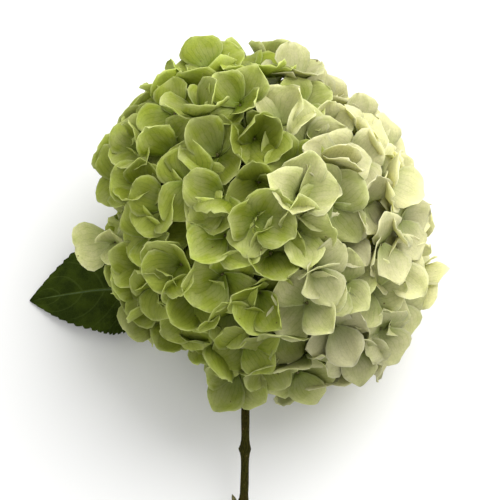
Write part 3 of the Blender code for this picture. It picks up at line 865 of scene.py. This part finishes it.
def sepal_finish():
    material, shader = start_finish("sepal", 0.48, 0.26)
    tint = add("Attribute", attribute_name="tint").outputs["Fac"]
    # The stored tone is each floret's own lightness together with the painted shade of the florets round the
    # foot of the head.
    tone_and_shade = add("Attribute", attribute_name="tone_and_shade").outputs["Fac"]
    room = add("TexCoord").outputs["Object"]
    place = add("SeparateXYZ", {0: add("UVMap", uv_map="UVMap").outputs[0]})
    across, along = place.outputs[0], place.outputs[1]
    mottle = noise(room, 115.0, 3.0)
    grain = noise(room, 900.0, 2.0)

    faded = sums("ADD", tint, ramp(mottle, 0.3, 0.7, -0.15, 0.15), clamp=True)
    colour = blend(faded, LIME, CREAM)
    foot = ramp(along, 0.0, 0.50, 1.0, 0.0)
    colour = blend(times(foot, 0.75), colour, (0.70, 0.86, 0.42), "MULTIPLY")
    from_middle = times(off_half(across), 2.0)
    # The edge and the tip are blended towards a pale colour: partly the sepal's own paler margin, partly a
    # painted highlight where rims and tips catch the light.
    rim_and_highlight = sums("MAXIMUM", ramp(from_middle, 0.84, 1.0), ramp(along, 0.88, 1.0))
    pale_edge_and_highlight = blend(faded, (0.74, 0.80, 0.30), (0.88, 0.86, 0.60))
    colour = blend(times(rim_and_highlight, 0.45), colour, pale_edge_and_highlight)
    # Painted highlight, with some of the sepal's own paler colour: the outer part grows paler towards the tip.
    colour = blend(ramp(along, 0.40, 1.0, 0.0, 0.20), colour, pale_edge_and_highlight)

    bent = sums("MULTIPLY_ADD", mottle, 0.16, across)
    stripe = off_half(sums("FRACT", times(bent, SEPAL_VEINS)))
    vein = times(ramp(stripe, 0.14, 0.0), ramp(along, 0.98, 0.35, 0.2, 1.0))
    depth = times(vein, sums("MULTIPLY_ADD", faded, -0.38, 0.62))
    colour = blend(depth, colour, (0.60, 0.74, 0.36), "MULTIPLY")
    dots = add("TexVoronoi", {"Vector": room, "Scale": 75.0, "Randomness": 1.0}).outputs["Distance"]
    colour = blend(ramp(dots, 0.055, 0.035, 0.0, 0.75), colour, (0.16, 0.10, 0.03))
    light = times(tone_and_shade, ramp(grain, 0.3, 0.7, 0.95, 1.05))
    # Painted light: the sepal is darkened at its foot as painted shade and brightened towards its tip and its
    # edges as painted highlight.
    light = times(light, ramp(along, 0.05, 0.95, 0.76, 1.17))
    light = times(light, ramp(from_middle, 0.2, 1.0, 0.96, 1.10))
    colour = add("VectorMath", {0: colour, "Scale": light}, operation="SCALE").outputs[0]
    tree.links.new(colour, shader.inputs["Base Color"])

    height = sums("MULTIPLY_ADD", vein, -0.6, grain)
    bump = roughen(shader, 0.25, 0.0004, height)
    shine = blend(1.0, colour, (0.95, 1.0, 0.60), "MULTIPLY")
    through_light = add("BsdfTranslucent", {"Color": shine, "Normal": bump})
    mixed = add("MixShader", {0: THROUGH, 1: shader.outputs[0], 2: through_light.outputs[0]})
    tree.links.new(mixed.outputs[0], tree.nodes["Material Output"].inputs["Surface"])
    return material


SEPAL_FINISH = sepal_finish()
for master in sepal_masters:
    master.data.materials.append(SEPAL_FINISH)
print("sepal finish:", len(SEPAL_FINISH.node_tree.nodes), "nodes")

# %% [markdown]
# ## The bead at a floret's centre
# Each sterile floret has a tiny closed flower at its middle, a brownish bead. It is a low sphere whose top
# ring of points is drawn up to a short tip.

# %% Bead and stalk masters
MOTTLE_DEPTH = 0.0003


def mottled_finish(name, dark, light, scale, roughness):
    """A finish that wanders between two colours, with a fine uneven surface."""
    material, shader = start_finish(name, roughness)
    room = add("TexCoord").outputs["Object"]
    cloud = noise(room, scale, 4.0)
    tree.links.new(blend(ramp(cloud, 0.35, 0.65), dark, light), shader.inputs["Base Color"])
    roughen(shader, 0.3, MOTTLE_DEPTH, cloud)
    return material


BEAD_FINISH = mottled_finish("floret_bead", (0.045, 0.036, 0.010), (0.16, 0.15, 0.04), 1500.0, 0.55)
STALK_FINISH = mottled_finish("young_stalk", (0.20, 0.27, 0.05), (0.34, 0.38, 0.11), 400.0, 0.55)


def make_bead():
    bead = start_shape(bpy.ops.mesh.primitive_uv_sphere_add, "master_bead", segments=8, ring_count=5, radius=1)
    bpy.ops.object.mode_set(mode="EDIT")
    pick(lambda co: True)
    bpy.ops.transform.resize(value=(1, 1, 0.75))
    pick(lambda co: co.z > 0.70)
    bpy.ops.transform.translate(value=(0, 0, 0.25))
    bpy.ops.object.mode_set(mode="OBJECT")
    bpy.ops.object.shade_smooth()
    bead.data.materials.append(BEAD_FINISH)
    put_away(bead)
    return bead


def make_stalk():
    """A slim rod one unit long up +Z, a little bowed, and wider at the end that carries the floret."""
    make = bpy.ops.mesh.primitive_circle_add
    stalk = start_shape(make, "master_stalk", vertices=6, radius=1, fill_type="NGON")
    bpy.ops.object.mode_set(mode="EDIT")
    pick(lambda co: True)
    for bow, wide in ((1.2, 0.85), (0.9, 0.95), (-2.1, 1.35)):
        bpy.ops.mesh.extrude_region_move(TRANSFORM_OT_translate={"value": (bow, 0, 1 / 3)})
        bpy.ops.transform.resize(value=(wide, wide, 1))
    bpy.ops.mesh.select_all(action="SELECT")
    bpy.ops.mesh.normals_make_consistent(inside=False)
    bpy.ops.object.mode_set(mode="OBJECT")
    bpy.ops.object.shade_smooth_by_angle(angle=math.radians(50))
    stalk.data.materials.append(STALK_FINISH)
    put_away(stalk)
    return stalk


bead_master = make_bead()
stalk_master = make_stalk()
print("bead", len(bead_master.data.polygons), "faces, stalk", len(stalk_master.data.polygons), "faces")

# %% [markdown]
# ## Putting the florets together
# Every sepal of a cyme is a copy of a master, moved to where the crowd left it. Their tint follows the
# place: the left of the head is still lime, the right has faded to cream, with a soft border between. The
# underside is pressed: what would reach below the table or the leaf is flattened onto it.

# %% Tint, and what presses on the underside
FADE_MIDDLE = 0.010
FADE_HALF = 0.028
FADE_SLANT = (0.05, 0.12)  # how much the border leans above and below the middle
# Painted shade: below this height in the head the florets are darkened, over this span, by up to this part.
LOW_SHADE_FROM, LOW_SHADE_OVER, DEEPEST_LOW_SHADE = -0.020, 0.060, 0.20
PRESS = 0.003
PRESS_CLEAR = 0.0004
to_flower = FLOWER.inverted()


def fade_at(place):
    """0 where the head is lime, 1 where it has faded to cream."""
    spot = to_flower @ place
    side = spot.x - FADE_SLANT[0] * max(spot.y, 0) + FADE_SLANT[1] * min(spot.y, 0)
    part = min(max((side - FADE_MIDDLE) / FADE_HALF / 2 + 0.5, 0), 1)
    return part * part * (3 - 2 * part)


def low_shade_at(place):
    """How far the florets round the foot of the head are darkened, as painted shade: 1 higher up, less towards
    the foot.
    """
    spot = to_flower @ place
    part = min(max((LOW_SHADE_FROM - spot.y) / LOW_SHADE_OVER, 0), 1)
    return 1 - DEEPEST_LOW_SHADE * part * part * (3 - 2 * part)


def places_of(mesh):
    """The places of a mesh's points, in rows."""
    flat = np.empty(len(mesh.vertices) * 3)
    mesh.vertices.foreach_get("co", flat)
    return flat.reshape(-1, 3)


def press_down(mesh):
    """Flattens what would reach below the table or the leaf: the last three millimetres squeeze softly."""
    points = places_of(mesh)
    floor = rests(points) + PRESS_CLEAR
    above = points[:, 2] - floor
    low = above < PRESS
    points[low, 2] = floor[low] + PRESS * np.exp((above[low] - PRESS) / PRESS)
    mesh.vertices.foreach_set("co", points.ravel())


def vary(mesh, chance):
    """Bends a sepal's copy a little in its own way: slow waves over its face, its outline and its edge."""
    points = places_of(mesh)
    x, y = points[:, 0].copy(), points[:, 1].copy()
    a, b, c, d = (chance.uniform(0, TAU) for _ in range(4))
    edge = (2 * x) ** 2 * y
    points[:, 2] += 0.030 * np.sin(5.5 * x + a) * np.sin(4.0 * y + b) + chance.gauss(0, 0.05) * edge
    points[:, 2] += chance.gauss(0, 0.07) * np.clip(y - 0.55, 0, 1) ** 2 * 4 + 0.022 * np.sin(13 * y + c) * edge
    points[:, 0] += 0.030 * np.sin(7.0 * y + c) * y
    points[:, 1] += 0.035 * np.sin(7.5 * x + d) * y
    mesh.vertices.foreach_set("co", points.ravel())


def store(mesh, name, value):
    """Stores one number on all of a mesh's points."""
    layer = mesh.attributes.new(name, "FLOAT", "POINT")
    layer.data.foreach_set("value", [value] * len(mesh.vertices))


def copy_to(master, matrix, tint=0.0, tone_and_shade=1.0, chance=None):
    """A copy of a master with its own mesh, moved to its place."""
    piece = bpy.data.objects.new("copy", master.data.copy())
    if chance:
        vary(piece.data, chance)
    piece.data.transform(matrix)
    store(piece.data, "tint", tint)
    store(piece.data, "tone_and_shade", tone_and_shade)
    bpy.context.scene.collection.objects.link(piece)
    return piece


def join(pieces, name):
    """Many pieces made one."""
    bpy.ops.object.select_all(action="DESELECT")
    for piece in pieces:
        piece.select_set(True)
    bpy.context.view_layer.objects.active = pieces[0]
    if len(pieces) > 1:
        bpy.ops.object.join()
    pieces[0].name = name
    pieces[0].data.name = name
    return pieces[0]


def facing_to(way):
    """The turn that takes +Z to a direction."""
    return UP.rotation_difference(way).to_matrix().to_4x4()


def rod(start, end, radius):
    """A copy of the stalk between two places."""
    way = end - start
    scale = Matrix.Diagonal((radius, radius, way.length, 1))
    return copy_to(stalk_master, Matrix.Translation(start) @ facing_to(way) @ scale)


# %% [markdown]
# ## Dressing the clusters
# A cluster (a cyme) becomes two pieces that stand for one plain piece: its florets, and the thin stalks
# that carry them from the end of the nearest ray.

# %% Cymes
BEAD_RADIUS = 0.0014
BRANCHLET_RADIUS = 0.0011
PEDICEL_RADIUS = 0.00065
FORK_PART = 0.62
RAY_RINGS = ((3, math.radians(32.0), 0.034), (6, math.radians(88.0), 0.027))
LOOK_SPREAD = 0.13
TONES = (0.80, 1.12)
SEPAL_TONES = (0.94, 1.05)
BEAD_LIFT = 0.0009

across, along, face = sepal_axes(azimuth, tilt, roll)
look = random.Random(3)
number_of = {id(floret): number for number, floret in enumerate(florets)}
hub = FLOWER @ HUB
ray_ends = []
for count, lean, reach in RAY_RINGS:
    for k in range(count):
        turn = TAU * (k + 0.5) / count
        spread_way = Vector((math.cos(turn), 0, math.sin(turn))) * math.sin(lean)
        ray_ends.append(FLOWER.to_3x3() @ (Vector((0, math.cos(lean), 0)) + spread_way) * reach)


# the florets that stand out: how far each has faded, and how light it is
LEADING_LOOKS = {
    0: (0.05, 0.95), 1: (0.15, 1.02), 2: (0.05, 1.0), 3: (0.10, 1.15), 4: (0.02, 0.92), 5: (0.0, 0.90),
    6: (0.0, 0.72), 7: (0.30, 1.0), 8: (0.85, 1.02), 9: (0.95, 0.92), 10: (0.95, 1.06), 11: (0.40, 0.84),
    12: (0.42, 1.06), 13: (0.12, 1.15), 14: (0.10, 0.75), 15: (0.0, 0.95), 16: (0.05, 0.95), 17: (0.0, 0.98),
    18: (0.70, 1.05), 19: (0.60, 0.95), 20: (0.65, 0.98), 21: (0.95, 1.04), 22: (1.0, 1.08), 25: (0.75, 0.92),
    26: (0.85, 1.0), 27: (0.0, 0.75), 28: (0.05, 0.80), 29: (0.20, 0.95), 33: (0.65, 1.15),
}


def floret_pieces(number):
    """One floret: its sepals and its bead."""
    floret = florets[number]
    tint = min(max(fade_at(floret.centre) + look.gauss(0, LOOK_SPREAD), 0), 1)
    tone_and_shade = look.uniform(*TONES)
    tint, tone_and_shade = LEADING_LOOKS.get(number, (tint, tone_and_shade))
    # Painted shade: the florets round the foot of the head are darkened.
    tone_and_shade *= low_shade_at(floret.centre)
    pieces = []
    for s in np.nonzero(owner == number)[0]:
        frame = Matrix((across[s], along[s], face[s])).transposed() * float(length[s])
        foot = floret.centre + floret.facing * float(layer[s])
        matrix = Matrix.Translation(foot) @ frame.to_4x4()
        kind = look.randrange(len(sepal_masters))
        pieces.append(copy_to(sepal_masters[kind], matrix, tint, tone_and_shade * look.uniform(*SEPAL_TONES), look))
    seat = Matrix.Translation(floret.centre + floret.facing * BEAD_LIFT) @ facing_to(floret.facing)
    pieces.append(copy_to(bead_master, seat @ Matrix.Scale(BEAD_RADIUS, 4)))
    return pieces


def dress_cyme(number, cyme):
    """A cyme's florets and its stalks, in the place of its plain piece."""
    name = f"cyme_{number:02d}"
    pieces = [piece for floret in cyme for piece in floret_pieces(number_of[id(floret)])]
    heads = join(pieces, f"{name}_florets")
    press_down(heads.data)
    middle = sum((floret.centre for floret in cyme), Vector()) / len(cyme)
    first, *others = sorted(cyme, key=lambda floret: (floret.centre - middle).length)
    end = max(ray_ends, key=lambda way: way.normalized().dot((middle - hub).normalized()))
    fork = hub.lerp(middle, FORK_PART)
    rods = [rod(hub + end, fork, BRANCHLET_RADIUS), rod(fork, first.centre, BRANCHLET_RADIUS * 0.8)]
    rods += [rod(fork, floret.centre, PEDICEL_RADIUS) for floret in others]
    stalks = join(rods, f"{name}_stalks")
    for piece, slot in ((heads, "sepals"), (stalks, "branches")):
        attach(piece, BODY)
        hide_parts(name)
    return heads


dressed = [dress_cyme(number, cyme) for number, cyme in enumerate(cymes, 1)]
print(len(dressed), "cymes,", sum(len(piece.data.polygons) for piece in dressed), "faces")

# %% [markdown]
# ## The rays
# Inside the head, nine main branches leave the top of the stem and end in small knots, where the
# clusters fork off. Little of them shows, but they carry everything. A tube along a curve is the quickest
# way to a branch whose thickness changes: each of the curve's points has its own radius.

# %% Tubes along a route


def tube_along(name, places, radii, sides, finish):
    """A round tube through places, made from a curve with a bevel and then turned into a mesh."""
    route = bpy.data.curves.new(name, "CURVE")
    route.dimensions = "3D"
    route.bevel_depth = 1.0
    route.bevel_resolution = sides // 2 - 2
    route.use_fill_caps = True
    line = route.splines.new("POLY")
    line.points.add(len(places) - 1)
    for point, place, radius in zip(line.points, places, radii):
        point.co = (*place, 1)
        point.radius = radius
    piece = bpy.data.objects.new(name, route)
    bpy.context.scene.collection.objects.link(piece)
    bpy.ops.object.select_all(action="DESELECT")
    piece.select_set(True)
    bpy.context.view_layer.objects.active = piece
    bpy.ops.object.convert(target="MESH")
    piece = bpy.context.object
    bpy.ops.object.mode_set(mode="EDIT")
    bpy.ops.mesh.select_all(action="SELECT")
    bpy.ops.mesh.remove_doubles(threshold=0.00001)
    bpy.ops.mesh.normals_make_consistent(inside=False)
    bpy.ops.object.mode_set(mode="OBJECT")
    bpy.ops.object.shade_smooth_by_angle(angle=math.radians(50))
    piece.data.materials.clear()
    piece.data.materials.append(finish)
    return piece


# %% Rays
RAY_RADIUS, RAY_SLIMS, RAY_KNOT = 0.0022, 0.0007, 0.0017
RAY_ARCH = Vector((0, 0, 0.0012))
tenths = [k / 10 for k in range(11)]
radii = [RAY_RADIUS - RAY_SLIMS * t + RAY_KNOT * math.exp(-(((t - 0.95) / 0.08) ** 2)) for t in tenths]
for number, end in enumerate(ray_ends, 1):
    places = [hub + end * t + RAY_ARCH * math.sin(math.pi * t) for t in tenths]
    ray = tube_along(f"ray_{number}_branch", places, radii, 10, STALK_FINISH)
    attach(ray, BODY)
    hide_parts(f"ray_{number}")
print(len(ray_ends), "rays")

# %% [markdown]
# ## The stem
# The stem is young wood: dark olive, faintly ribbed, with pale corky pores. It swells at two joints, where
# leaves were taken off, and a resting bud sits at the lower one. Its cut end shows bark round a paler
# core, made by an inset of the end face.

# %% Bark finish


def bark_finish():
    material, shader = start_finish("young_bark", 0.65, 0.05)
    room = add("TexCoord").outputs["Object"]
    lengthwise = add(
        "Mapping", {"Vector": room, "Rotation": (-TILT, 0, 0), "Scale": (1.0, 0.10, 1.0)}
    ).outputs[0]
    streak = noise(lengthwise, 1600.0, 3.0)
    patch = noise(room, 130.0, 4.0)
    colour = blend(ramp(streak, 0.35, 0.65), (0.013, 0.012, 0.001), (0.040, 0.038, 0.004))
    colour = blend(ramp(patch, 0.45, 0.70, 0.0, 0.65), colour, (0.036, 0.023, 0.004))
    oval = add("Mapping", {"Vector": room, "Rotation": (-TILT, 0, 0), "Scale": (1.0, 0.45, 1.0)})
    pores = add("TexVoronoi", {"Vector": oval.outputs[0], "Scale": 330.0}).outputs["Distance"]
    pore = ramp(pores, 0.20, 0.12)
    colour = blend(times(pore, 0.6), colour, (0.12, 0.09, 0.04))
    tree.links.new(colour, shader.inputs["Base Color"])
    height = sums("MULTIPLY_ADD", pore, 0.6, streak)
    roughen(shader, 0.5, 0.0003, height)
    return material


BARK_FINISH = bark_finish()
PITH_FINISH = mottled_finish("cut_pith", (0.34, 0.33, 0.16), (0.58, 0.55, 0.34), 1200.0, 0.8)
BUD_FINISH = mottled_finish("bud_scale", (0.05, 0.045, 0.012), (0.14, 0.13, 0.035), 900.0, 0.5)

# %% [markdown]
# ## The stem's swellings
# Each swelling is a smooth bump in the list of radii. A leaf scar is a small ledge on either side of a joint.

# %% Stem
BARK_IN = 0.0001  # the bark is this much slimmer than the plain stem
JOINT_LENGTH, TOP_LENGTH = 0.0035, 0.006
RIPPLE = 0.00008
SCAR, SCAR_LENGTH = 0.0012, 0.0022

stem_line = [Vector(spot) for spot in STEM]
stem_radii = []
for place in stem_line:
    down = (to_flower @ place).y
    joint = (JOINT_RADIUS - STEM_RADIUS) * max(math.exp(-(((down - at) / JOINT_LENGTH) ** 2)) for at in JOINTS)
    top = (HUB_RADIUS - STEM_RADIUS) * math.exp(-(((down - HUB.y) / TOP_LENGTH) ** 2))
    stem_radii.append(STEM_RADIUS - BARK_IN + joint * 0.7 + top + RIPPLE * math.sin(down * 310))
stem = tube_along("stem_bark", stem_line, stem_radii, 20, BARK_FINISH)
stem.data.materials.append(PITH_FINISH)
bpy.ops.object.mode_set(mode="EDIT")
shape = bmesh.from_edit_mesh(stem.data)
cut = min(shape.faces, key=lambda f: (to_flower @ f.calc_center_median()).y)
for part in shape.faces:
    part.select_set(part == cut)
bmesh.update_edit_mesh(stem.data)
bpy.ops.mesh.inset(thickness=0.0006, depth=0)
stem.active_material_index = 1
bpy.ops.object.material_slot_assign()
bpy.ops.mesh.inset(thickness=0.0009, depth=-0.0004)
bpy.ops.object.mode_set(mode="OBJECT")
for vert in stem.data.vertices:
    spot = to_flower @ vert.co
    middle = min((to_flower @ place for place in stem_line), key=lambda place: abs(place.y - spot.y))
    for at in JOINTS:
        side = (spot.x - middle.x) / STEM_RADIUS
        scar = SCAR * math.exp(-(((spot.y - at) / SCAR_LENGTH) ** 2)) * max(abs(side) - 0.3, 0)
        scar *= 1 if side < 0 else 0.55
        vert.co += FLOWER.to_3x3() @ Vector((math.copysign(scar, side), 0, 0))
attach(stem, BODY)
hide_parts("stem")
print("stem", round((stem_line[0] - stem_line[-1]).length * 1000), "mm long,", len(stem.data.polygons), "faces")

# %% [markdown]
# ## The bud
# The bud is a short tube again, widest near its foot and pointed at its tip.

# %% Bud
BUD_REACH = 0.0036
BUD_RADIUS = 0.0016

low, high = (Vector(corner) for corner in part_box("bud"))
middle = (low + high) / 2
up = (FLOWER.to_3x3() @ Vector((-0.35, 1, 0))).normalized()
twelfths = [k / 12 for k in range(13)]
places = [middle + up * BUD_REACH * (t * 2 - 1) for t in twelfths]
rounds = [math.sin(math.pi * min(0.10 + t * 0.90, 0.995)) ** 0.8 for t in twelfths]
radii = [BUD_RADIUS * round_part * (1.15 - 0.5 * t) for round_part, t in zip(rounds, twelfths)]
bud = tube_along("bud_scales", places, radii, 12, BUD_FINISH)
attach(bud, BODY)
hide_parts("bud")
print("bud at the lower joint,", len(bud.data.polygons), "faces")

# %% [markdown]
# ## The leaf
# The leaf is a toothed oval with a sunken midrib. Side veins leave it in a regular fan and curve towards the
# tip, and the blade puffs up between them. A fine grid is laid over the plain leaf's own surface, and
# each point is then moved by the rule for teeth, puffs or midrib that holds where it is.

# %% Leaf finish
SIDE_VEINS = 7.0
VEIN_SWEEP = 0.8
VEIN_ARCH = 1.1


def leaf_finish():
    material, shader = start_finish("leaf_blade", 0.55, 0.05)
    room = add("TexCoord").outputs["Object"]
    place = add("SeparateXYZ", {0: add("UVMap", uv_map="UVMap").outputs[0]})
    along, across = place.outputs[0], place.outputs[1]
    side = times(off_half(across), 2.0)
    cloud = noise(room, 90.0, 4.0)
    sweep = times(side, sums("MULTIPLY_ADD", side, VEIN_ARCH, VEIN_SWEEP))
    phase = sums("SUBTRACT", times(along, SIDE_VEINS), sweep)
    phase = sums("MULTIPLY_ADD", cloud, 0.12, phase)
    from_vein = off_half(sums("FRACT", phase))
    vein = times(ramp(from_vein, 0.07, 0.02), ramp(side, 1.0, 0.75))
    midrib = ramp(side, 0.045, 0.018)
    ribs = sums("MAXIMUM", times(vein, 0.38), midrib)
    net = add("TexVoronoi", {"Vector": room, "Scale": 420.0}, feature="DISTANCE_TO_EDGE").outputs[0]
    mesh_lines = ramp(net, 0.10, 0.02)
    colour = blend(ramp(cloud, 0.35, 0.65), (0.018, 0.030, 0.0012), (0.036, 0.056, 0.003))
    colour = blend(times(mesh_lines, 0.22), colour, (0.045, 0.070, 0.009))
    colour = blend(times(ribs, 0.65), colour, (0.085, 0.120, 0.024))
    tree.links.new(colour, shader.inputs["Base Color"])
    height = sums("MULTIPLY_ADD", mesh_lines, -0.5, times(ribs, -1.0))
    roughen(shader, 0.5, 0.0004, height)
    return material


LEAF_FINISH = leaf_finish()

# %% [markdown]
# ## The blade and its stalk
# The same rule that colours the side veins also places the puffs, so that the two agree.

# %% Leaf blade
LEAF_COLUMNS = 112
LEAF_ROWS = 18
TEETH = 20
TOOTH = 0.0016
PUFF = 0.0007
GROOVE = 0.0006
LEAF_WALL = 0.0004
STALK_TIP = 0.0005

grid = bpy.ops.mesh.primitive_grid_add
blade = start_shape(grid, "leaf_blade", x_subdivisions=LEAF_COLUMNS, y_subdivisions=LEAF_ROWS, size=1)
for vert in blade.data.vertices:
    part, side = vert.co.x + 0.5, vert.co.y * 2
    part = 0.012 + 0.985 * part
    place = leaf_place(part, side)
    outward = (leaf_place(part, side + 0.05) - leaf_place(part, side - 0.05)).normalized()
    outward *= 1 if side > 0 else -1
    tooth = (part * TEETH % 1.0) * TOOTH * max((abs(side) - 0.80) / 0.20, 0) * min(part, 1 - part) * 4
    phase = (part * SIDE_VEINS - abs(side) * (VEIN_SWEEP + VEIN_ARCH * abs(side))) % 1.0
    puff = PUFF * (0.5 + 0.5 * math.cos(TAU * phase)) * (1 - side**2) * min(1, abs(side) * 6)
    groove = -GROOVE * math.exp(-((side / 0.07) ** 2))
    vert.co = place + outward * min(tooth, TOOTH) + Vector((0, 0, puff + groove))
give_wall(blade, LEAF_WALL, -1.0)
bpy.ops.object.shade_smooth()
blade.data.materials.append(LEAF_FINISH)
under_midrib = [spot - Vector((0, 0, 0.0010)) for spot in LEAF_MIDRIB[2:-4:2]]
stalk_places = [*through(LEAF_STALK[:-1], 2), *under_midrib]
last = len(stalk_places) - 1
stalk_radii = [STALK_THICK - (STALK_THICK - STALK_TIP) * k / last for k in range(last + 1)]
LEAF_STALK_FINISH = mottled_finish("leaf_stalk", (0.040, 0.075, 0.015), (0.085, 0.125, 0.030), 300.0, 0.5)
petiole = tube_along("leaf_stalk", stalk_places, stalk_radii, 12, LEAF_STALK_FINISH)
for piece in (blade, petiole):
    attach(piece, BODY)
    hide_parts("leaf")
print("leaf", tuple(round(d * 1000) for d in blade.dimensions), "mm,", len(blade.data.polygons), "faces")
